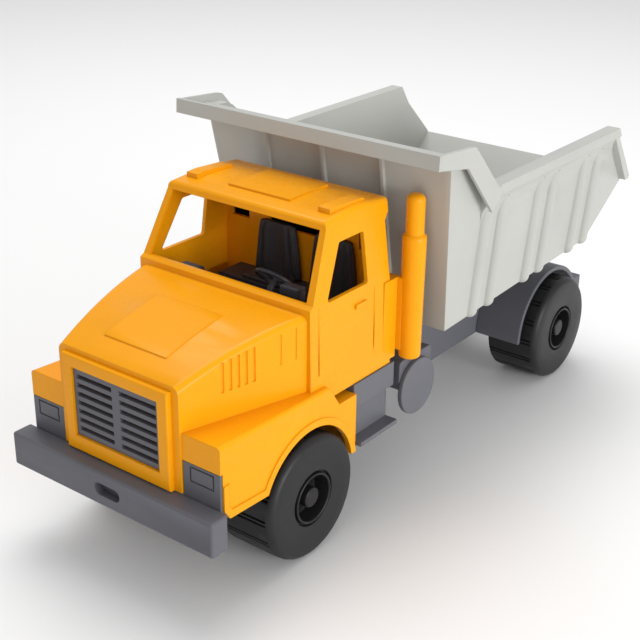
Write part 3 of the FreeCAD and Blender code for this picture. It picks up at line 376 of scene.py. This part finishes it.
def softened_copy(node, width, segments=2, angle=28.0):
    """A merged copy of a frame node whose sharp edges get a small moulded radius. Flat faces are joined first."""
    mesh = frame["nodes"][node].data.copy()
    work = bmesh.new()
    work.from_mesh(mesh)
    bmesh.ops.remove_doubles(work, verts=work.verts, dist=1e-5)
    bmesh.ops.dissolve_limit(work, angle_limit=math.radians(0.6), verts=work.verts, edges=work.edges)
    work.to_mesh(mesh)
    work.free()
    mesh.set_sharp_from_angle(angle=math.radians(angle))
    piece = link(mesh, node + "_soft", node)
    if width > 0:
        bevel = piece.modifiers.new("moulded edges", "BEVEL")
        bevel.width = width
        bevel.segments = segments
        bevel.limit_method = "ANGLE"
        bevel.angle_limit = math.radians(angle)
        bevel.use_clamp_overlap = True
        bevel.harden_normals = True
    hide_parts(node)
    return piece


# ------------------------------------------------------------------ settings

class TruckSizes(bpy.types.PropertyGroup):
    edge: FloatProperty(name="Moulded edge", description="Radius of the moulded edges", default=0.0006,
                        unit="LENGTH", min=0.0)
    fine_edge: FloatProperty(name="Fine edge", description="Radius of edges on thin pieces", default=0.0003,
                             unit="LENGTH", min=0.0)
    tread_groups: IntProperty(name="Tread groups", description="Pairs of grooves around each tyre",
                              default=16, min=4)
    tread_depth: FloatProperty(name="Tread depth", description="Depth of the tread grooves",
                               default=0.0013, unit="LENGTH")
    seat_ribs: IntProperty(name="Seat ribs", description="Upright ribs on the seat's back", default=6, min=1)


class TruckColours(bpy.types.PropertyGroup):
    cab: FloatVectorProperty(name="Cab", description="Colour of the cab's plastic", subtype="COLOR",
                             size=3, default=(0.86, 0.345, 0.004))
    bed: FloatVectorProperty(name="Bed", description="Colour of the tipping bed", subtype="COLOR", size=3,
                             default=(0.450, 0.455, 0.425))
    chassis: FloatVectorProperty(name="Chassis", description="Colour of the chassis", subtype="COLOR",
                                 size=3, default=(0.115, 0.116, 0.133))
    step: FloatVectorProperty(name="Step", description="Colour of steps and tank caps", subtype="COLOR",
                              size=3, default=(0.128, 0.130, 0.146))
    # The seats and dashboard are the dark slate chassis plastic; this colour is darker still, and that extra
    # darkness is painted shade of the cab's inside.
    interior: FloatVectorProperty(name="Interior", description="Colour of the seat and dashboard",
                                  subtype="COLOR", size=3, default=(0.048, 0.048, 0.056))
    tyre: FloatVectorProperty(name="Tyre", description="Colour of the tyres", subtype="COLOR", size=3,
                              default=(0.016, 0.016, 0.017))
    # The wheel centres are black plastic like the tyres; their extra darkness is painted shade for the deep hub
    # recess.
    wheel: FloatVectorProperty(name="Wheel", description="Colour of the wheel centres", subtype="COLOR",
                               size=3, default=(0.012, 0.012, 0.013))
    cab_gloss: FloatProperty(name="Cab roughness", description="Roughness of the cab's plastic",
                             default=0.27, subtype="FACTOR", min=0.0, max=1.0)
    bed_gloss: FloatProperty(name="Bed roughness", description="Roughness of the bed's plastic",
                             default=0.36, subtype="FACTOR", min=0.0, max=1.0)


class TruckStage(bpy.types.PropertyGroup):
    lens: FloatProperty(name="Lens", description="Focal length on a 36 mm sensor", default=69.6)
    eye: FloatVectorProperty(name="Eye", description="Where the camera stands", subtype="TRANSLATION",
                             size=3, default=(0.3983, -0.54972, 0.38311))
    turn: FloatProperty(name="Turn", description="How far round the truck the camera stands, in degrees",
                        default=37.324)
    tilt: FloatProperty(name="Tilt", description="How far down the camera looks, in degrees",
                        default=24.391)
    roll: FloatProperty(name="Roll", description="Turn of the camera about its own line, in degrees",
                        default=0.742)
    key: FloatProperty(name="Key light", description="Power of the light overhead, in watts", default=17.0)
    fill: FloatProperty(name="Side light", description="Power of the low side light, in watts", default=21.0)
    sky: FloatProperty(name="Sky", description="Strength of the even light all round", default=0.62)


# ------------------------------------------------------------------ operators

class TRUCK_OT_cab(bpy.types.Operator):
    """Orange cab, hood and fenders with moulded edges"""
    bl_idname = "truck.cab"
    bl_label = "Cab shell"

    def execute(self, context):
        softened_copy("cab_shell", context.scene.truck_sizes.fine_edge)
        return {"FINISHED"}


class TRUCK_OT_bed(bpy.types.Operator):
    """Tipping bed with moulded edges"""
    bl_idname = "truck.bed"
    bl_label = "Tipping bed"

    def execute(self, context):
        softened_copy("dump_body", context.scene.truck_sizes.fine_edge)
        return {"FINISHED"}


class TRUCK_OT_chassis(bpy.types.Operator):
    """Chassis, bumper, grille, lamps, tanks, steps and mudguards"""
    bl_idname = "truck.chassis"
    bl_label = "Chassis pieces"

    def execute(self, context):
        sizes = context.scene.truck_sizes
        for node in ("chassis_frame", "side_step_left", "side_step_right", "air_tank_left",
                     "air_tank_right", "rear_mudguard_left", "rear_mudguard_right", "tank_cap_left",
                     "tank_cap_right", "front_bumper"):
            softened_copy(node, sizes.edge)
        for node in ("grille", "headlight_left", "headlight_right", "hinge_pin_caps", "cab_interior"):
            softened_copy(node, sizes.fine_edge)
        return {"FINISHED"}


class TRUCK_OT_stack(bpy.types.Operator):
    """Exhaust stack: a tapered pipe, a narrower domed tip and the flange that holds them"""
    bl_idname = "truck.stack"
    bl_label = "Exhaust stack"

    def execute(self, context):
        """The pipe's outline is (height, radius), turned round an upright axis; the tip's dome follows
        height = top - d + d sin t and radius = rim + d cos t."""
        low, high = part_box("exhaust_stack")
        x = high.x - PIPE_RADIUS
        y = high.y - PIPE_RADIUS
        swing = np.linspace(0, np.pi / 2, 6)
        dome = np.stack((high.z - DOME + DOME * np.sin(swing), 0.0017 + DOME * np.cos(swing)), axis=1)
        rows = np.concatenate((np.array([
            (low.z, 0.0), (low.z, 0.0054), (low.z + 0.0006, 0.0060), (low.z + 0.0016, 0.0062),
            (SHOULDER - 0.0030, 0.0067), (SHOULDER - 0.0010, 0.0066), (SHOULDER, 0.0058),
            (SHOULDER + 0.0003, 0.0052), (SHOULDER + 0.0010, 0.0051), (0.1660, 0.0051)]),
            dome, [(high.z, 0.0)]))
        angle = np.linspace(0, 2 * np.pi, 72, endpoint=False)[None, :]
        height, radius = (rows[:, k][:, None] for k in range(2))
        grid = np.stack((x + radius * np.cos(angle), y + radius * np.sin(angle), height + 0 * angle), axis=-1)
        made = Surfaces().add(grid)
        made.add(rounded_block((low.x, FLANGE_FRONT, 0.088), (x - 0.0020, FLANGE_FRONT + 0.003, 0.131), 0.0008))
        piece = link(made.mesh("exhaust_stack_pipe"), "exhaust_stack_pipe", "exhaust_stack")
        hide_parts("exhaust_stack")
        return {"FINISHED"}


class TRUCK_OT_wheels(bpy.types.Operator):
    """Four wheels: grooved tyres around stepped hubs, on two steel axles"""
    bl_idname = "truck.wheels"
    bl_label = "Wheels"

    def tyre(self, sizes, centre, side, name, node):
        """Tyre skin: outline out(s), radius(s) turned round the axle, less the tread depth where both the
        groove wave round the wheel and the band across the tread are 1."""
        r, low, high = WHEEL_RADIUS, TYRE_IN, TYRE_OUT
        swing = np.radians(np.linspace(0, 72, 9))
        shoulder = np.stack((high - 0.0044 + 0.004625 * np.sin(swing), r - 0.004625 * (1 - np.cos(swing)),
                             0 * swing), axis=1)
        outline = softened_profile(np.concatenate((
            [(low, r - 0.0046, 0.0003), (low, r, 0.0014), (low + 0.008, r, 0.0), (low + 0.017, r, 0.0),
             (low + 0.025, r, 0.0)], shoulder,
            [(high, 0.0255, 0.0), (high, 0.0155, 0.0006), (high - 0.0036, 0.0155, 0.0003),
             (high - 0.0036, r - 0.0060, 0.002), (high - 0.0054, r - 0.0046, 0.001)])))
        step = 2 * np.pi / sizes.tread_groups
        local = np.array([-3.3, -2.95, -2.80, -2.05, -1.35, -1.20, -0.85, 0.85, 1.20, 1.35, 2.05, 2.80, 2.95,
                          3.3, 5.0, 7.0, 9.0, 11.0]) * math.pi / 180
        angle = (np.arange(sizes.tread_groups)[:, None] * step + local[None, :]).ravel()
        away = np.abs(np.abs(((angle + step / 2) % step) - step / 2) - math.radians(2.07))
        across = np.clip(1 - (away - math.radians(0.70)) / math.radians(0.22), 0, 1)
        band = (outline[:, 1] > r - 0.0016) & (outline[:, 0] < high - 0.0043)
        shift = band[:, None] * across[None, :] * sizes.tread_depth
        grid = turned_round(outline, centre, side, shift=(angle, shift))
        made = Surfaces().add(grid, wrap_rows=True)
        piece = link(made.mesh(name), name, node)
        piece.data.set_sharp_from_angle(angle=math.radians(35))
        return piece

    def hub(self, centre, side, name, node):
        """Hub skin: a stepped outline turned round the axle, closed at the cap in its middle."""
        low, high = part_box("wheel_hub_front_left")
        inner, face = low.x, TYRE_OUT
        outline = softened_profile([
            (inner, 0.0026, 0.0), (inner, 0.0066, 0.0004), (0.0540, 0.0066, 0.001), (0.0540, 0.0124, 0.001),
            (0.0604, 0.0155, 0.0005), (face - 0.0020, 0.0155, 0.0002), (face - 0.0020, 0.0143, 0.0003),
            (face + 0.0003, 0.0141, 0.0004), (face + 0.0006, 0.0134, 0.0004), (face + 0.0001, 0.0127, 0.0004),
            (0.0568, 0.0124, 0.0012), (0.0568, 0.0058, 0.0010), (face - 0.0012, 0.0056, 0.0006),
            (face - 0.0007, 0.0046, 0.0006), (face - 0.0007, 0.0020, 0.0), (face - 0.0007, 0.0, 0.0),
            (face - 0.0040, 0.0, 0.0), (face - 0.0040, 0.0026, 0.0)])
        made = Surfaces().add(turned_round(outline, centre, side, count=96), wrap_rows=True)
        piece = link(made.mesh(name), name, node)
        piece.data.set_sharp_from_angle(angle=math.radians(40))
        return piece

    def execute(self, context):
        sizes = context.scene.truck_sizes
        for end in ("front", "rear"):
            centre = AXLE[f"{end}_wheelset"]
            for side, sign in (("left", 1), ("right", -1)):
                tyre = self.tyre(sizes, centre, sign, f"tread_{end}_{side}", f"tyre_{end}_{side}")
                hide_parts(f"tyre_{end}_{side}")
                hub = self.hub(centre, sign, f"centre_{end}_{side}", f"wheel_hub_{end}_{side}")
                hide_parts(f"wheel_hub_{end}_{side}")
        return {"FINISHED"}


class TRUCK_OT_cockpit(bpy.types.Operator):
    """Ribbed seats and thin steering wheel"""
    bl_idname = "truck.cockpit"
    bl_label = "Seats and steering wheel"

    def seat(self, sizes, low, high):
        """Seat back: at height s the section is a rounded oblong whose half-width narrows with s; its
        front swells by a cosine of the distance across, once for each rib."""
        middle, half = (low.x + high.x) / 2, (high.x - low.x) / 2
        s = np.array([0, 0, 0.012, 0.03, 0.06, 0.12, 0.3, 0.5, 0.7, 0.85, 0.92, 0.96, 0.985, 1, 1])[:, None]
        shrink = np.array([0, 0.8, 0.95, 1, 1, 1, 1, 1, 1, 0.99, 0.97, 0.95, 0.92, 0.84, 0])[:, None]
        angle = np.linspace(0, 2 * np.pi, 144, endpoint=False)[None, :]
        cosine, sine = np.cos(angle), np.sin(angle)
        across = np.sign(cosine) * np.abs(cosine) ** 0.35
        thick = np.sign(sine) * np.abs(sine) ** 0.45
        ribs = 0.5 + 0.5 * np.cos(2 * np.pi * sizes.seat_ribs * (across + 1) / 2 + np.pi)
        fade = np.clip((s - 0.06) / 0.05, 0, 1) * np.clip((0.97 - s) / 0.06, 0, 1)
        front = (thick < 0) * ribs * 0.0014 * fade * (np.abs(across) < 0.94)
        return np.stack((middle + half * (1 - 0.225 * s) * across * shrink,
                         high.y - 0.0019 + 0.0016 * thick * (0.4 + 0.6 * shrink) - front,
                         low.z + 0.0002 + (high.z - low.z - 0.0002) * s + 0 * angle), axis=-1)

    def execute(self, context):
        for node in ("driver_seat", "passenger_seat"):
            low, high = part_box(node)
            made = Surfaces().add(self.seat(context.scene.truck_sizes, low, high))
            made.add(rounded_block((low.x + 0.0019, low.y, low.z), (high.x - 0.0019, high.y - 0.0030,
                                                                    low.z + 0.0018), 0.0008))
            seat = link(made.mesh(node + "_ribbed"), node + "_ribbed", node)
            seat.data.set_sharp_from_angle(angle=math.radians(50))
            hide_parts(node)
        self.steering()
        return {"FINISHED"}

    def steering(self):
        """Ring: a circle of tubes tilted back about X; spokes and column are short tapered tubes."""
        middle, tilt = np.array((0.014, -0.0854, 0.1334)), math.radians(-42)
        turn = np.array(((1, 0, 0), (0, math.cos(tilt), -math.sin(tilt)), (0, math.sin(tilt), math.cos(tilt))))
        angle = np.linspace(0, 2 * np.pi, 64, endpoint=False)
        ring = np.stack((0.0105 * np.cos(angle), 0.0105 * np.sin(angle), 0 * angle), axis=1) @ turn.T + middle
        made = Surfaces().add(tube_round(ring, 0.00115), wrap_rows=True)
        for end in ((0.0102, 0, 0), (-0.0102, 0, 0), (0, -0.0102, 0)):
            spoke = np.linspace((0, 0, 0), end, 6) @ turn.T + middle
            made.add(capped(tube_round(spoke, np.linspace(0.0013, 0.0009, 6), closed=False)))
        column = np.linspace((0, 0, -0.0095), (0, 0, 0.0012), 8) @ turn.T + middle
        made.add(capped(tube_round(column, (0.0017,) * 5 + (0.0026, 0.0026, 0.0022), closed=False)))
        wheel = link(made.mesh("steering_ring"), "steering_ring", "steering_wheel")
        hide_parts("steering_wheel")


class TRUCK_OT_steel(bpy.types.Operator):
    """Steel axles, hinge pin and screws keep their own shapes and get drawn steel"""
    bl_idname = "truck.steel"
    bl_label = "Steel pieces"

    def execute(self, context):
        for node in ("front_axle", "rear_axle", "hinge_pin", "cab_screws"):
            data = frame["nodes"][node].data
            data.materials.clear()
            data.materials.append(material("steel"))
        return {"FINISHED"}


class TRUCK_OT_stage(bpy.types.Operator):
    """Pale floor, soft studio light and the camera"""
    bl_idname = "truck.stage"
    bl_label = "Stage"

    def light(self, name, place, target, size, power, colour=(1, 1, 1)):
        lamp = bpy.data.lights.new(name, "AREA")
        lamp.shape = "RECTANGLE"
        lamp.size, lamp.size_y = size
        lamp.energy = power
        lamp.color = colour
        holder = bpy.data.objects.new(name, lamp)
        holder.location = place
        holder.rotation_euler = (Vector(target) - Vector(place)).to_track_quat("-Z", "Y").to_euler()
        bpy.context.scene.collection.objects.link(holder)

    def execute(self, context):
        stage = context.scene.truck_stage
        floor = bpy.data.meshes.new("floor")
        grid = np.stack(np.meshgrid(np.linspace(-6, 6, 13), np.linspace(-6, 6, 13), indexing="ij"), axis=-1)
        points = np.concatenate((grid, np.zeros(grid.shape[:2] + (1,))), axis=-1).reshape(-1, 3)
        floor.from_pydata(points.tolist(), [], grid_faces(13, 13, wrap_columns=False).tolist())
        floor.materials.append(floor_paint("floor paint", (0.86, 0.86, 0.86)))
        plane = bpy.data.objects.new("floor", floor)
        context.scene.collection.objects.link(plane)
        world = bpy.data.worlds.new("studio")
        world.use_nodes = True
        world.node_tree.nodes["Background"].inputs[0].default_value = (1.0, 1.0, 1.0, 1)
        world.node_tree.nodes["Background"].inputs[1].default_value = stage.sky
        context.scene.world = world
        context.scene.view_settings.view_transform = "Standard"
        self.light("key", (-0.35, 0.35, 1.65), (0, 0, 0.08), (1.1, 1.1), stage.key)
        self.light("fill", (1.85, -0.25, 0.42), (0, -0.02, 0.10), (1.0, 0.5), stage.fill)
        self.camera(context, stage)
        return {"FINISHED"}

    def camera(self, context, stage):
        a, e, c = (math.radians(v) for v in (stage.turn, stage.tilt, stage.roll))
        back = Vector((math.sin(a) * math.cos(e), -math.cos(a) * math.cos(e), math.sin(e)))
        right = Vector((math.cos(a), math.sin(a), 0))
        up = back.cross(right)
        level = math.cos(c) * right + math.sin(c) * up
        above = math.cos(c) * up - math.sin(c) * right
        data = bpy.data.cameras.new("camera")
        data.lens = stage.lens
        data.sensor_width = 36
        camera = bpy.data.objects.new("camera", data)
        turn = Matrix((level, above, back)).transposed()
        camera.matrix_world = Matrix.Translation(Vector(stage.eye)) @ turn.to_4x4()
        context.scene.collection.objects.link(camera)
        context.scene.camera = camera


OPERATORS = (TRUCK_OT_cab, TRUCK_OT_bed, TRUCK_OT_chassis, TRUCK_OT_stack, TRUCK_OT_wheels,
             TRUCK_OT_cockpit, TRUCK_OT_steel, TRUCK_OT_stage)


class TRUCK_PT_panel(bpy.types.Panel):
    bl_idname = "TRUCK_PT_panel"
    bl_label = "Toy dump truck"
    bl_space_type = "VIEW_3D"
    bl_region_type = "UI"
    bl_category = "Dump truck"

    def draw(self, context):
        for settings in (context.scene.truck_sizes, context.scene.truck_colours, context.scene.truck_stage):
            box = self.layout.box()
            for name in settings.__annotations__:
                box.prop(settings, name)
        for operator in OPERATORS:
            self.layout.operator(operator.bl_idname)


CLASSES = (TruckSizes, TruckColours, TruckStage) + OPERATORS + (TRUCK_PT_panel,)


def register():
    for cls in CLASSES:
        bpy.utils.register_class(cls)
    bpy.types.Scene.truck_sizes = PointerProperty(type=TruckSizes)
    bpy.types.Scene.truck_colours = PointerProperty(type=TruckColours)
    bpy.types.Scene.truck_stage = PointerProperty(type=TruckStage)


def unregister():
    del bpy.types.Scene.truck_stage
    del bpy.types.Scene.truck_colours
    del bpy.types.Scene.truck_sizes
    for cls in reversed(CLASSES):
        bpy.utils.unregister_class(cls)


def main():
    register()
    for operator in OPERATORS:
        group, name = operator.bl_idname.split(".")
        getattr(getattr(bpy.ops, group), name)()


if __name__ == "__main__":
    main()
